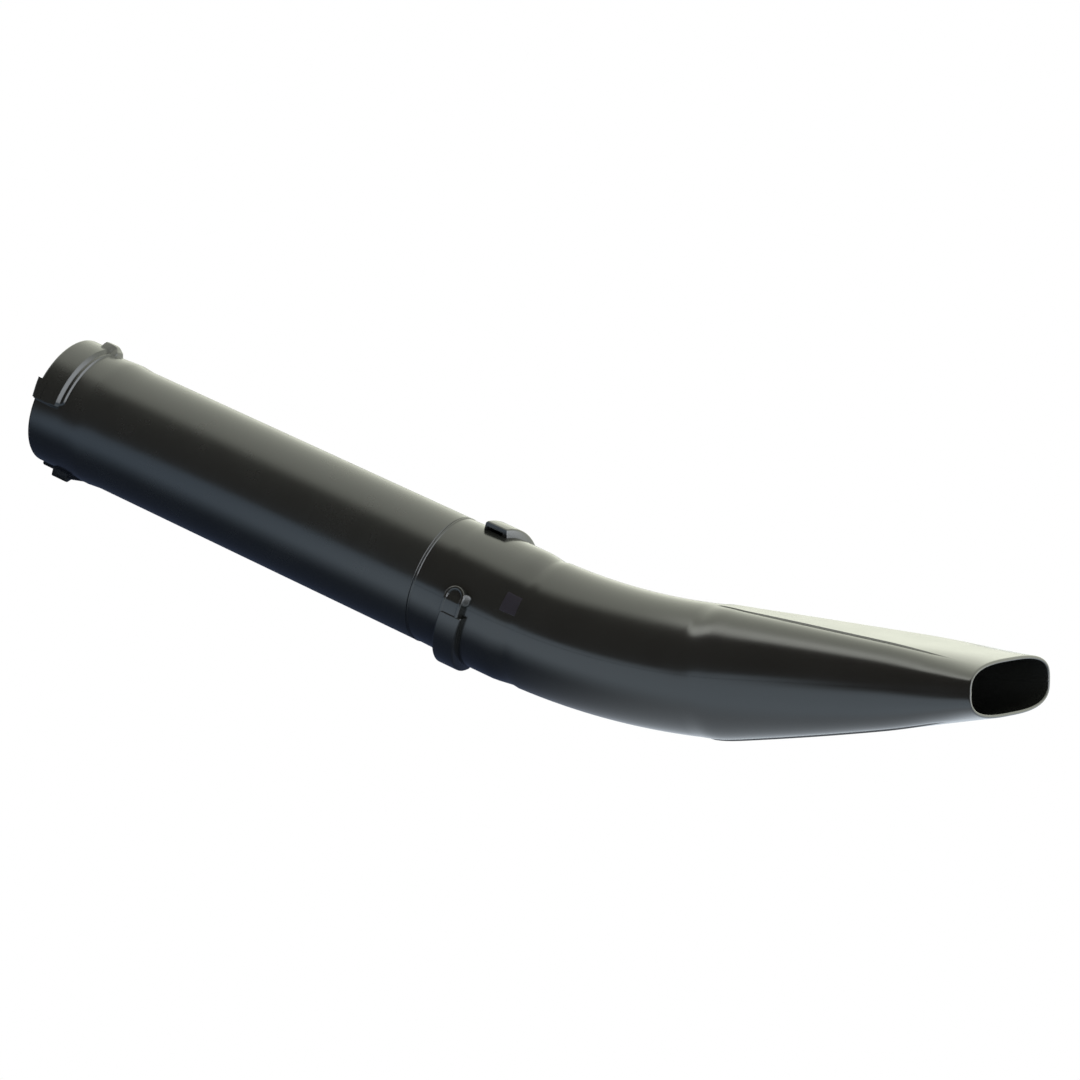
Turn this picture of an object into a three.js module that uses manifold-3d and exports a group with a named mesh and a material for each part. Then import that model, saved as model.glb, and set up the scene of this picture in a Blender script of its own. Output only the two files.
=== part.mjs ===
// Leaf blower tube set: a straight blower tube and a curved nozzle that flattens into a wide outlet.
// Millimetres. The origin is the centre of the tube's inlet end, +X runs down the straight tube,
// and +Z is the side that the nozzle bends to.
//
// Places around the tube are given as a clock angle in degrees: 0 is +Z, 90 is -Y, 180 is -Z.
// Places along the duct are given as a distance along its centre line, from the inlet end.

import * as THREE from 'three';
import { mergeVertices } from 'three/addons/utils/BufferGeometryUtils.js';
import Module from 'manifold-3d';

const wasm = await Module();
wasm.setup();

// ---------------------------------------------------------------- driving dimensions

const INLET_RADIUS = 42; // outside of the tube at the inlet end
const JOINT_RADIUS = 43.1; // outside of the tube where the nozzle's collar begins
const WALL = 2.3;

const SOCKET_LENGTH = 42; // thicker end that slides over the blower's outlet
const SOCKET_STEP = 0.6;
const SOCKET_BORE_RADIUS = 40.2;
const SOCKET_DEPTH = 36;

const TUBE_END = 306.7; // shoulder of the straight tube
const SPIGOT_END = 352; // end of the hidden spigot inside the collar
const SPIGOT_RADIUS = 38.6;
const SPIGOT_WALL = 2;

const COLLAR_START = 307.3;
const COLLAR_END = 385;
const COLLAR_TAPER = { start: 367, end: 383.6, radius: 42.6 }; // in front of the bend's small step
const COLLAR_BORE_RADIUS = 38.9;
const COLLAR_STEP_WIDTH = 0.8; // along the duct, for each small step of the collar's outside
const COLLAR_STEPS = [
  { from: COLLAR_START, radius: 42.5 },
  { from: 323.6, radius: 43.1 },
  { from: 349, radius: 44.2 },
];

const BEND_START = 370;
const BEND_RADIUS = 464;
const BEND_ANGLE = THREE.MathUtils.degToRad(20.5);
const BEND_END = BEND_START + BEND_RADIUS * BEND_ANGLE;
const FLAT_START = 507; // crease where the round duct starts to flatten
const OUTLET = BEND_END + 176;

const BEND_OUTER_RADIUS = 43.2; // outside of the duct behind the collar
const ROUND_RADIUS = 42.4; // outside of the duct at the crease
const CREASE_SLOPE = 0.075; // fall of the half height per length, just behind the crease
const OUTLET_HALF_WIDTH = 62.2;
const OUTLET_HALF_HEIGHT = 17.9;
const WIDENING_POWER = 1.32; // the width grows slowly at first, then faster
const MOUTH_START = 640; // where the flat-topped section starts to round off towards the outlet
const MOUTH_POWER = 3; // of the superellipse that the section has become at the outlet

const PANEL_START = 513; // narrow end of the raised flat panels above and below
const PANEL_END = 693;
const PANEL_START_HALF_HEIGHT = 43.6;
const PANEL_START_HALF_WIDTH = 7;
const PANEL_SPREAD = 0.191; // growth of a panel's half width per length
const PANEL_FADE = 675; // a panel's edges sink away from here to its end
const PANEL_RISE = 1;
const BELLY = 1.7; // the lower side hangs this much deeper at its middle
const PANEL_EDGE = 0.9; // width of the sloping edge of a panel

const SEAM_GAP = 0.3; // between the nozzle's two shells

// Bayonet of the middle joint: two lugs on the spigot run in two raised pockets of the collar.
// The pockets and lugs climb like a thread. Their places along X are given at HELIX_ANGLE.
const HELIX_ANGLE = 98;
const HELIX_SLOPE = -0.1; // millimetres along X per degree around
const POCKET = { start: 334.8, end: 351, radius: 49.5, from: 98, to: 188 };
const CHANNEL = { start: 336.3, end: 349, radius: 47.2, from: 98, to: 189 };
const HOOK = { start: 334.5, end: 352, radius: 47.3, from: 76.5, to: 98, wall: 1.6, floor: 45.4 };
const HOOK_CHANNEL = { start: 336.3, end: 347.6, radius: 43.8, from: 81, to: 98.5 };
const LUG = { start: 336.7, end: 340.3, radius: 40.5, from: 84, to: 104 };
const LUG_GROOVE = { end: 336, radius: 40.9, from: 166, to: 190 };

// Bayonet of the inlet: two raised sectors take the blower's lugs.
const SECTOR_ANGLES = [[-13, 84], [173, 264]];
const SECTOR = { end: 18.7, cornerStart: 14, radius: 44.6, corner: 4 };
const SECTOR_RIB = { end: 22, radius: 43.3 };
const SECTOR_RECESS = { end: 16, radius: 42.4, margin: 2.5 };
const INDEX_TAB = { start: -1.5, end: 4, inner: 42.6, outer: 44.9, from: 64.5, to: 84.5 };
const OUTER_LUG = { start: 11.6, end: 25, radius: 48, from: -15, to: -5 };
const LUG_HEEL = { end: 36, radius: 44.2 }; // low step behind the lower lug

const HALF_TURN = 180;
const FULL_TURN = 360;
const OVERLAP = 0.5; // how far joined shapes reach into each other
const PAST = 2; // how far a cutting shape reaches past the faces that it cuts

// ---------------------------------------------------------------- solids

function toSolid(geometry) {
  geometry.deleteAttribute('normal');
  geometry.deleteAttribute('uv');
  const tolerance = 1e-4;
  const merged = mergeVertices(geometry, tolerance);
  return new wasm.Manifold(new wasm.Mesh({
    numProp: 3,
    vertProperties: new Float32Array(merged.attributes.position.array),
    triVerts: new Uint32Array(merged.index.array),
  }));
}

function toGeometry(solid) {
  const { vertProperties, triVerts } = solid.getMesh();
  const geometry = new THREE.BufferGeometry();
  geometry.setAttribute('position', new THREE.BufferAttribute(vertProperties, 3));
  geometry.setIndex(new THREE.BufferAttribute(triVerts, 1));
  geometry.computeVertexNormals();
  return geometry;
}

/** A solid of revolution about X from [x, radius] corners that close on themselves. */
function turned(corners, segments = 60) {
  const profile = [...corners, corners[0]].map(([x, radius]) => new THREE.Vector2(radius, x));
  const geometry = new THREE.LatheGeometry(profile, segments);
  return toSolid(geometry.rotateZ(-Math.PI / 2));
}

/** A curved block about X: { inner, radius, start, end, from, to }, the last two clock angles. */
function sector({ inner, radius, start, end, from: fromAngle, to: toAngle }) {
  const from = THREE.MathUtils.degToRad(90 + fromAngle);
  const to = THREE.MathUtils.degToRad(90 + toAngle);
  const outline = new THREE.Shape();
  outline.absarc(0, 0, radius, from, to, false);
  outline.absarc(0, 0, inner, to, from, true);
  const stepsPerTurn = 72;
  const curveSegments = Math.max(3, Math.ceil(((toAngle - fromAngle) / FULL_TURN) * stepsPerTurn));
  const geometry = new THREE.ExtrudeGeometry(outline, {
    depth: end - start, bevelEnabled: false, curveSegments,
  });
  // The outline's x and y become Y and Z, and the extrusion runs along X.
  const axes = new THREE.Matrix4().makeBasis(
    new THREE.Vector3(0, 1, 0), new THREE.Vector3(0, 0, 1), new THREE.Vector3(1, 0, 0),
  );
  return toSolid(geometry.applyMatrix4(axes).translate(start, 0, 0));
}

/** A solid together with a copy of itself, half a turn about X away. */
function pair(solid) {
  return solid.add(solid.rotate([HALF_TURN, 0, 0]));
}

/** A solid slid along X by its clock angle, so that it climbs like a thread. */
function helical(solid) {
  return solid.warp((point) => {
    const clock = (THREE.MathUtils.radToDeg(Math.atan2(-point[1], point[2])) + FULL_TURN) % FULL_TURN;
    point[0] += HELIX_SLOPE * (clock - HELIX_ANGLE);
  });
}

// ---------------------------------------------------------------- straight tube

function straightTube() {
  const socketEndRadius = INLET_RADIUS + (JOINT_RADIUS - INLET_RADIUS) * (SOCKET_LENGTH / TUBE_END);
  const socketEdge = 1.5;
  const endEdge = 0.5;
  const boreStep = 8;
  const spigotBore = SPIGOT_RADIUS - SPIGOT_WALL;
  const chamfer = 1.2;
  const outside = [
    [0, INLET_RADIUS],
    [SOCKET_LENGTH, socketEndRadius + SOCKET_STEP],
    [SOCKET_LENGTH + socketEdge, socketEndRadius],
    [TUBE_END - endEdge, JOINT_RADIUS],
    [TUBE_END, JOINT_RADIUS - endEdge],
    [TUBE_END, SPIGOT_RADIUS],
    [SPIGOT_END - chamfer, SPIGOT_RADIUS],
    [SPIGOT_END, SPIGOT_RADIUS - chamfer / 2],
  ];
  const inside = [
    [SPIGOT_END, spigotBore],
    [TUBE_END - boreStep, spigotBore],
    [TUBE_END - 3 * boreStep, JOINT_RADIUS - WALL],
    [SOCKET_LENGTH + boreStep, socketEndRadius - WALL],
    [SOCKET_DEPTH, socketEndRadius - WALL],
    [SOCKET_DEPTH, SOCKET_BORE_RADIUS],
    [0, SOCKET_BORE_RADIUS],
  ];
  const { margin } = SECTOR_RECESS;
  const root = SOCKET_BORE_RADIUS + OVERLAP;
  const outerLug = { ...OUTER_LUG, inner: root };
  const heel = {
    ...LUG_HEEL, inner: root, start: OUTER_LUG.end - OVERLAP,
    from: OUTER_LUG.from + HALF_TURN, to: OUTER_LUG.to + HALF_TURN,
  };
  const spigotLug = { ...LUG, inner: SPIGOT_RADIUS - OVERLAP };
  let tube = turned([...outside, ...inside]).add(pair(sector(outerLug))).add(sector(heel));
  SECTOR_ANGLES.forEach(([from, to]) => {
    const short = to - SECTOR.corner;
    tube = tube
      .add(sector({ ...SECTOR, inner: root, start: 0, end: SECTOR.cornerStart, from, to }))
      .add(sector({ ...SECTOR, inner: root, start: 0, from, to: short }))
      .add(sector({ ...SECTOR_RIB, inner: root, start: 0, from, to: short }))
      .subtract(sector({
        ...SECTOR_RECESS, inner: root - PAST, start: -PAST, from: from + margin, to: to - margin,
      }));
  });
  return tube
    .add(pair(sector({ ...INDEX_TAB, radius: INDEX_TAB.outer })))
    .add(pair(helical(sector(spigotLug))));
}

// ---------------------------------------------------------------- curved nozzle

/** The centre line at a distance from the inlet: a place in the XZ plane and a rising angle. */
function centreLine(distance) {
  if (distance <= BEND_START) {
    return { x: distance, z: 0, angle: 0 };
  }
  const angle = Math.min((distance - BEND_START) / BEND_RADIUS, BEND_ANGLE);
  const straight = Math.max(0, distance - BEND_END);
  return {
    x: BEND_START + BEND_RADIUS * Math.sin(angle) + straight * Math.cos(angle),
    z: BEND_RADIUS * (1 - Math.cos(angle)) + straight * Math.sin(angle),
    angle,
  };
}

/** Half sizes of the flattened duct's outside at a distance from the inlet. */
function flatSection(distance) {
  const widened = (distance - FLAT_START) / (OUTLET - FLAT_START);
  const spread = (distance - PANEL_START) / (OUTLET - PANEL_START);
  const fade = 1 - THREE.MathUtils.smoothstep(distance, PANEL_FADE, PANEL_END);
  const rise = PANEL_RISE * fade;
  const raised = distance > PANEL_START;
  const tapered = PANEL_START_HALF_HEIGHT - rise
    + (OUTLET_HALF_HEIGHT - PANEL_START_HALF_HEIGHT) * spread;
  const besidePanel = Math.min(tapered, ROUND_RADIUS - CREASE_SLOPE * (distance - FLAT_START));
  const halfHeight = besidePanel + (raised ? rise : 0);
  return {
    distance,
    halfWidth: ROUND_RADIUS + (OUTLET_HALF_WIDTH - ROUND_RADIUS) * widened ** WIDENING_POWER,
    halfHeight,
    lowerScale: 1 + (BELLY * Math.sin(Math.PI * Math.min(1, widened))) / halfHeight,
    flat: PANEL_START_HALF_WIDTH + PANEL_SPREAD * (distance - PANEL_START),
    rise: raised ? rise : 0,
    rounding: THREE.MathUtils.smoothstep(distance, MOUTH_START, OUTLET),
  };
}

function roundSection(distance, radius) {
  return { distance, radius, lowerScale: 1 };
}

/** The height above the middle of the flat-topped outline and the superellipse, mixed. */
function heightAt(across, flatTopped, section) {
  const share = Math.min(1, across / section.halfWidth);
  const rounded = section.halfHeight * (1 - share ** MOUTH_POWER) ** (1 / MOUTH_POWER);
  return THREE.MathUtils.lerp(flatTopped, rounded, section.rounding);
}

const QUARTER_STEPS = 14;
const FLAT_STEPS = 3;

/**
 * One corner of a cross-section's first quarter, counted from the middle of the top (0) to the
 * side (QUARTER_STEPS). A flattened section has a flat top, a panel edge and an elliptical shoulder.
 */
function quarterPoint(step, section) {
  const shoulder = Math.max(0, step - FLAT_STEPS - 1) / (QUARTER_STEPS - FLAT_STEPS - 1);
  const flat = section.flat ?? PANEL_START_HALF_WIDTH;
  const across = step <= FLAT_STEPS ? (flat - PANEL_EDGE) * (step / FLAT_STEPS) : flat;
  if (section.radius !== undefined) {
    const start = Math.asin(across / section.radius);
    const turn = start + (Math.PI / 2 - start) * shoulder;
    return [section.radius * Math.sin(turn), section.radius * Math.cos(turn)];
  }
  if (step <= FLAT_STEPS) {
    return [across, heightAt(across, section.halfHeight, section)];
  }
  const turn = (Math.PI / 2) * shoulder;
  const beside = flat + (section.halfWidth - flat) * Math.sin(turn);
  return [beside, heightAt(beside, (section.halfHeight - section.rise) * Math.cos(turn), section)];
}

/** A closed solid through cross-sections set square to the centre line. */
function duct(sections) {
  const lengthSteps = sections.length - 1;
  const turnSteps = 4 * QUARTER_STEPS;
  const geometry = new THREE.CylinderGeometry(1, 1, 1, turnSteps, lengthSteps);
  const position = geometry.attributes.position;
  for (let i = 0; i < position.count; i += 1) {
    const section = sections[Math.round((position.getY(i) + 0.5) * lengthSteps)];
    const centre = centreLine(section.distance);
    let across = 0;
    let up = 0;
    if (Math.hypot(position.getX(i), position.getZ(i)) > 0.5) {
      const turn = Math.atan2(position.getX(i), position.getZ(i)) / (2 * Math.PI);
      const step = Math.round((turn + 1) * turnSteps) % turnSteps;
      const quarter = Math.floor(step / QUARTER_STEPS);
      const within = step % QUARTER_STEPS;
      const [wide, high] = quarterPoint(quarter % 2 ? QUARTER_STEPS - within : within, section);
      across = quarter < 2 ? -wide : wide;
      up = quarter === 1 || quarter === 2 ? -high * section.lowerScale : high;
    }
    position.setXYZ(
      i, centre.x - up * Math.sin(centre.angle), across, centre.z + up * Math.cos(centre.angle),
    );
  }
  return toSolid(geometry);
}

function evenly(start, end, steps) {
  return Array.from({ length: steps + 1 }, (_, i) => start + ((end - start) * i) / steps);
}

function bendRadiusAt(distance) {
  const bend = (distance - COLLAR_END) / (FLAT_START - COLLAR_END);
  return BEND_OUTER_RADIUS + (ROUND_RADIUS - BEND_OUTER_RADIUS) * bend;
}

function nozzleOutside() {
  const rimRound = 0.5;
  const collar = COLLAR_STEPS.flatMap(({ from, radius }, i) => {
    const before = i === 0 ? radius - rimRound : COLLAR_STEPS[i - 1].radius;
    return [roundSection(from, before), roundSection(from + COLLAR_STEP_WIDTH, radius)];
  });
  const collarRadius = COLLAR_STEPS[COLLAR_STEPS.length - 1].radius;
  collar.push(
    roundSection(COLLAR_TAPER.start, collarRadius),
    roundSection(COLLAR_TAPER.end, COLLAR_TAPER.radius),
  );
  const bendSteps = 8;
  const bend = evenly(COLLAR_END + COLLAR_STEP_WIDTH / 2, FLAT_START, bendSteps)
    .map((distance) => roundSection(distance, bendRadiusAt(distance)));
  const creaseWidth = 2;
  const panelTip = 0.5;
  const taperStart = 517;
  const taperSteps = 13;
  const crease = [FLAT_START + creaseWidth, PANEL_START, PANEL_START + panelTip];
  const taper = evenly(taperStart, OUTLET, taperSteps);
  return duct([...collar, ...bend, ...[...crease, ...taper].map(flatSection)]);
}

function nozzleInside() {
  const leadIn = 0.6;
  const clearOfSpigot = 4;
  const entry = [
    roundSection(COLLAR_START - PAST, COLLAR_BORE_RADIUS + leadIn),
    roundSection(COLLAR_START + PAST, COLLAR_BORE_RADIUS),
    roundSection(SPIGOT_END + clearOfSpigot, COLLAR_BORE_RADIUS),
    roundSection(BEND_START, BEND_OUTER_RADIUS - WALL),
  ];
  const bendSteps = 6;
  const taperSteps = 10;
  const bend = evenly(COLLAR_END, FLAT_START, bendSteps)
    .map((distance) => roundSection(distance, bendRadiusAt(distance) - WALL));
  const thinned = (distance) => {
    const outside = flatSection(distance);
    return {
      distance,
      flat: outside.flat,
      halfWidth: outside.halfWidth - WALL,
      halfHeight: outside.halfHeight - outside.rise - WALL,
      rise: 0,
      rounding: outside.rounding,
      lowerScale: outside.lowerScale,
    };
  };
  const taper = evenly(PANEL_START + leadIn, OUTLET, taperSteps).map(thinned);
  const mouth = { ...thinned(OUTLET), distance: OUTLET + PAST };
  return duct([...entry, ...bend, ...taper, mouth]);
}

/** The collar's raised pockets, each with a hooked end whose floor lies lower. */
function pockets() {
  const inner = COLLAR_BORE_RADIUS + 2 * OVERLAP;
  const bulge = helical(sector({ ...POCKET, inner }));
  const hook = sector({ ...HOOK, inner, to: HOOK.to + OVERLAP });
  const wallAngle = THREE.MathUtils.radToDeg(HOOK.wall / HOOK.radius);
  const recess = sector({
    inner: HOOK.floor, radius: HOOK.radius + PAST,
    start: HOOK.start + HOOK.wall, end: HOOK.end - HOOK.wall,
    from: HOOK.from + wallAngle, to: HOOK.to,
  });
  return pair(bulge.add(hook.subtract(recess)));
}

/** The channels that the spigot's lugs turn in, and the grooves that they come in by. */
function pocketHollows() {
  const inner = SPIGOT_RADIUS - PAST;
  const channel = helical(sector({ ...CHANNEL, inner }));
  const hookChannel = helical(sector({ ...HOOK_CHANNEL, inner }));
  const groove = sector({ ...LUG_GROOVE, inner, start: COLLAR_START - PAST });
  return pair(channel.add(hookChannel).add(groove));
}

/** The space on one side of the nozzle's seam, which follows the centre line. */
function sideOfSeam(side) {
  const reach = 200;
  const beyond = 20;
  const curveSegments = 12;
  const gap = (side * SEAM_GAP) / 2;
  const end = centreLine(OUTLET + beyond);
  const outline = new THREE.Shape();
  outline.moveTo(COLLAR_START - beyond, gap);
  outline.lineTo(BEND_START, gap);
  outline.absarc(
    BEND_START, BEND_RADIUS, BEND_RADIUS - gap, -Math.PI / 2, -Math.PI / 2 + BEND_ANGLE, false,
  );
  outline.lineTo(end.x - gap * Math.sin(end.angle), end.z + gap * Math.cos(end.angle));
  outline.lineTo(end.x, side * reach);
  outline.lineTo(COLLAR_START - beyond, side * reach);
  const geometry = new THREE.ExtrudeGeometry(outline, {
    depth: reach, bevelEnabled: false, curveSegments,
  });
  return toSolid(geometry.rotateX(Math.PI / 2).translate(0, reach / 2, 0));
}

// ---------------------------------------------------------------- scene graph

const tubePlastic = new THREE.MeshStandardMaterial({ color: 0x1c1d1c, roughness: 0.38 });
const nozzlePlastic = new THREE.MeshStandardMaterial({ color: 0x1b1c1b, roughness: 0.3 });

function named(name, solid, material) {
  const mesh = new THREE.Mesh(toGeometry(solid), material);
  mesh.name = name;
  return mesh;
}

const nozzle = nozzleOutside().add(pockets()).subtract(nozzleInside()).subtract(pocketHollows());

const tubeSet = new THREE.Group();
tubeSet.name = 'leaf_blower_tube_set';
tubeSet.add(
  named('straight_tube', straightTube(), tubePlastic),
  named('nozzle_upper_shell', nozzle.intersect(sideOfSeam(1)), nozzlePlastic),
  named('nozzle_lower_shell', nozzle.intersect(sideOfSeam(-1)), nozzlePlastic),
);

export default tubeSet;
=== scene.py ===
"""Looks for the leaf blower tube set: a straight tube and a curved nozzle in black moulded plastic.

Sizes are in millimetres, and MM turns them into Blender's metres. The frame is the CAD model's: X runs
down the straight tube from its inlet, and Z is the side that the nozzle bends to. A clock angle is
counted round the duct in degrees: 0 is +Z, 90 is -Y, 180 is -Z. In the names below, START, END and SPAN
are places along the duct, CLOCKS are clock angles, and RISE is a height above the surface. CORNER is the
radius of a raised shape's corners, and EDGE is the width of its sloping side.
"""

import math

import bpy
import numpy as np
from mathutils import Matrix, Vector


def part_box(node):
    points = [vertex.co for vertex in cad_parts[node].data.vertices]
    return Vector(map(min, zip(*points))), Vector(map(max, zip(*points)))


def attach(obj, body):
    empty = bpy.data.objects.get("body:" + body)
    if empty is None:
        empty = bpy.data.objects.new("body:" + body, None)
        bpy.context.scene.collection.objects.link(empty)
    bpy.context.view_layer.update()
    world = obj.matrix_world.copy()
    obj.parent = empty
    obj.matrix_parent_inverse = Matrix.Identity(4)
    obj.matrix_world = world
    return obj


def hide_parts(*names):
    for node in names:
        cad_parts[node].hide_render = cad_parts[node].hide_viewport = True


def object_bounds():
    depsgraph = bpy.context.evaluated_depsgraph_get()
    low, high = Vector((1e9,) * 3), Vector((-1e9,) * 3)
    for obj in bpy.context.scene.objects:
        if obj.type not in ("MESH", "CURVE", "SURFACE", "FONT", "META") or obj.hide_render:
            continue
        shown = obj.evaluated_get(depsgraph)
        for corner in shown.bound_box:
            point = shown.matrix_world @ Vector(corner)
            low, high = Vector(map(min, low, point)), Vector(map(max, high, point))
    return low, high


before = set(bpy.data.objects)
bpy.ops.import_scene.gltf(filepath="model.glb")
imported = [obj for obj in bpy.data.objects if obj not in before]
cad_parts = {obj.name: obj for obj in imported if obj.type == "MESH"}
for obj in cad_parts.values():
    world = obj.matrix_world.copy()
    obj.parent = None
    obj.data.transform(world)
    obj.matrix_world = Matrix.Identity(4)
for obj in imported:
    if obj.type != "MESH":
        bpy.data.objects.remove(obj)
cad_low, cad_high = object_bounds()

MM = 0.001
QUARTER_TURN = 90
HALF_TURN = 180
FULL_TURN = 360

# ---------------------------------------------------------------- driving dimensions

_, tube_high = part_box("straight_tube")

INLET_RADIUS = 42.0
JOINT_RADIUS = 43.1
WALL = 2.3
SOCKET_LENGTH = 42.0
SOCKET_STEP = 0.9
SOCKET_FALL = 1.5  # length in which the socket's step falls back to the tube
SOCKET_BORE_RADIUS = 40.2
SOCKET_DEPTH = 36.0
TUBE_END = 307.15
SPIGOT_END = tube_high.x / MM
SPIGOT_RADIUS = 38.4
SPIGOT_WALL = 2.0

COLLAR_START = 307.2
COLLAR_BORE_RADIUS = 38.9
COLLAR_RIM_RADIUS = 42.6
RIM_BEAD = 0.55  # a small round bead along the collar's rim
RIM_BEAD_WIDTH = 1.8
COLLAR_MIDDLE = 323.6
COLLAR_MIDDLE_STEP = 0.3  # the collar grows this much at its middle
COLLAR_THICK = 350.0
COLLAR_THICK_RADIUS = 44.2
COLLAR_TAPER = 367.0
COLLAR_TAPER_RADIUS = 42.5
COLLAR_END = 384.4

BEND_START = 370.0
BEND_RADIUS = 464.0
BEND_ANGLE = math.radians(20.5)
BEND_END = BEND_START + BEND_RADIUS * BEND_ANGLE
BEND_OUTER_RADIUS = 43.2
CREASE = 507.0
FLATTENING = 11.0  # length behind the crease in which the section turns from round to flat-topped
OUTLET = BEND_END + 176.0
ROUND_RADIUS = 42.4
CREASE_SLOPE = 0.075  # fall of the half height per length, just behind the crease
OUTLET_HALF_WIDTH = 62.2
OUTLET_HALF_HEIGHT = 17.9
WIDENING_POWER = 1.32
MOUTH_START = 640.0  # the flat-topped section rounds off from here to the outlet
MOUTH_POWER = 3.0
RIM_ROUNDING = 0.9

PANEL_START = 513.0
PANEL_END = 693.0
PANEL_START_HALF_HEIGHT = 43.6
PANEL_START_HALF_WIDTH = 7.0
PANEL_LEAST_HALF_WIDTH = 4.0
PANEL_SPREAD = 0.191
PANEL_FADE = 675.0  # its edges sink away from here to its end
PANEL_RISE = 1.0
PANEL_TIP_RISE = 0.6  # the upper panel stands up less at its narrow end, and fully from PANEL_FULL on
PANEL_FULL = 580.0
PANEL_EDGE = 0.9
PANEL_CLOCK = 24.0  # share of the clock that the sections give to the flat panel
PANEL_EDGE_CLOCK = 1.2  # the part of it that they give to the panel's sloping edge
GATHER_DELAY = 10.0  # the round section's columns start to gather this far after the collar
GATHER_LENGTH = 80.0
BELLY = 1.7  # the lower side hangs this much deeper at its middle

SEAM_GAP = 0.12  # a groove between the nozzle's two shells
SEAM_BEAD = 0.5  # a small ridge along the seam inside the duct
SEAM_BEAD_CLOCK = 2.0

HELIX_CLOCK = 98.0
HELIX_SLOPE = -0.1  # millimetres along X per degree
POCKET_START = 334.8
POCKET_END = 351.0
POCKET_RADIUS = 49.4
POCKET_CLOCKS = (97.8, 188.0)


# ---------------------------------------------------------------- shape helpers

SHARP_ANGLE = math.radians(38)  # edges sharper than this are shaded as edges
CLOSE_ENOUGH = 1e-6


def ease(x):
    """A smooth step from 0 to 1."""
    x = np.clip(x, 0, 1)
    return x * x * (3 - 2 * x)


def fillet(x):
    """How far a quarter-round edge has fallen at x, from 1 at its end (0) to nothing at its start (1)."""
    x = np.clip(x, 0, 1)
    return 1 - np.sqrt(1 - (1 - x) ** 2)


def between(x, x0, x1, y0, y1):
    """y0 up to x0, y1 from x1 on, and a smooth step between."""
    return y0 + (y1 - y0) * ease((x - x0) / (x1 - x0))


def turned(clocks, half_turn):
    """The same clock angles, half_turn degrees further round."""
    return clocks[0] + half_turn, clocks[1] + half_turn


def stations(start, end, coarse, edges, fine, reach):
    """Places from start to end a coarse step apart, and a fine step apart within reach of each edge."""
    places = [start]
    while places[-1] < end - CLOSE_ENOUGH:
        here = places[-1]
        near = any(abs(here - e) < reach for e in edges)
        step = fine if near else coarse
        ahead = [e - reach for e in edges if here < e - reach < here + step]
        places.append(min([here + step, end] + ahead))
    return np.array(places)


def on_duct(distance, across, up):
    """Points beside the duct's centre line: straight, then an arc, then straight again."""
    angle = np.clip((distance - BEND_START) / BEND_RADIUS, 0, BEND_ANGLE)
    before = np.minimum(distance, BEND_START)
    after = np.maximum(distance - BEND_END, 0)
    x = before + BEND_RADIUS * np.sin(angle) + after * np.cos(angle) - up * np.sin(angle)
    z = BEND_RADIUS * (1 - np.cos(angle)) + after * np.sin(angle) + up * np.cos(angle)
    return np.stack([x, across + 0 * x, z], -1) * MM


def round_points(distance, clock, radius):
    """Points at a clock angle and a radius round the duct's centre line."""
    turn = np.radians(clock)
    return on_duct(distance, -radius * np.sin(turn), radius * np.cos(turn))


def smooth_mesh(name, vertices, faces):
    """A smoothly shaded piece that keeps its sharp edges."""
    mesh = bpy.data.meshes.new(name)
    mesh.from_pydata(vertices.tolist(), [], faces)
    mesh.validate()
    mesh.update()
    mesh.shade_smooth()
    mesh.set_sharp_from_angle(angle=SHARP_ANGLE)
    piece = bpy.data.objects.new(name, mesh)
    bpy.context.scene.collection.objects.link(piece)
    return piece


def grid_faces(rows, columns, first, closed, flip):
    """Quads of a grid of vertices; a closed grid joins its last column to its first."""
    last = columns if closed else columns - 1
    r, c = np.meshgrid(np.arange(rows - 1), np.arange(last), indexing="ij")
    c1 = (c + 1) % columns
    a, b = r * columns + c, r * columns + c1
    d, e = (r + 1) * columns + c, (r + 1) * columns + c1
    quads = np.stack([a, b, e, d] if flip else [a, d, e, b], -1).reshape(-1, 4) + first
    return quads.tolist()


def walled(name, outer, inner, closed):
    """A closed solid between an outer and an inner grid of points (rows along X, columns by clock)."""
    rows, columns = outer.shape[:2]
    half = rows * columns
    faces = grid_faces(rows, columns, 0, closed, False) + grid_faces(rows, columns, half, closed, True)
    for row, flip in ((0, True), (rows - 1, False)):
        for c in range(columns if closed else columns - 1):
            a, b = row * columns + c, row * columns + (c + 1) % columns
            quad = [a, b, b + half, a + half]
            faces.append(quad if not flip else quad[::-1])
    if not closed:
        for column, flip in ((0, False), (columns - 1, True)):
            for r in range(rows - 1):
                a, b = r * columns + column, (r + 1) * columns + column
                quad = [a, b, b + half, a + half]
                faces.append(quad if not flip else quad[::-1])
    vertices = np.concatenate([outer.reshape(-1, 3), inner.reshape(-1, 3)])
    return smooth_mesh(name, vertices, faces)


def inside_box(along, around, box, corner, edge):
    """1 inside a box with round corners and 0 outside it, over an edge. box is (x0, x1, y0, y1)."""
    x0, x1, y0, y1 = box
    qx = np.abs(along - (x0 + x1) / 2) - (x1 - x0) / 2 + corner
    qy = np.abs(around - (y0 + y1) / 2) - (y1 - y0) / 2 + corner
    away = np.hypot(np.maximum(qx, 0), np.maximum(qy, 0)) + np.minimum(np.maximum(qx, qy), 0) - corner
    return ease(0.5 - away / edge)


def raised(along, clock, radius, span, clocks, corner, edge):
    """The same on the duct's side, with the box's sides given as places along it and clock angles."""
    arc = math.radians(1) * radius
    box = (span[0], span[1], clocks[0] * arc, clocks[1] * arc)
    return inside_box(along, clock * arc, box, corner, edge)


# ---------------------------------------------------------------- straight tube

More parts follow.
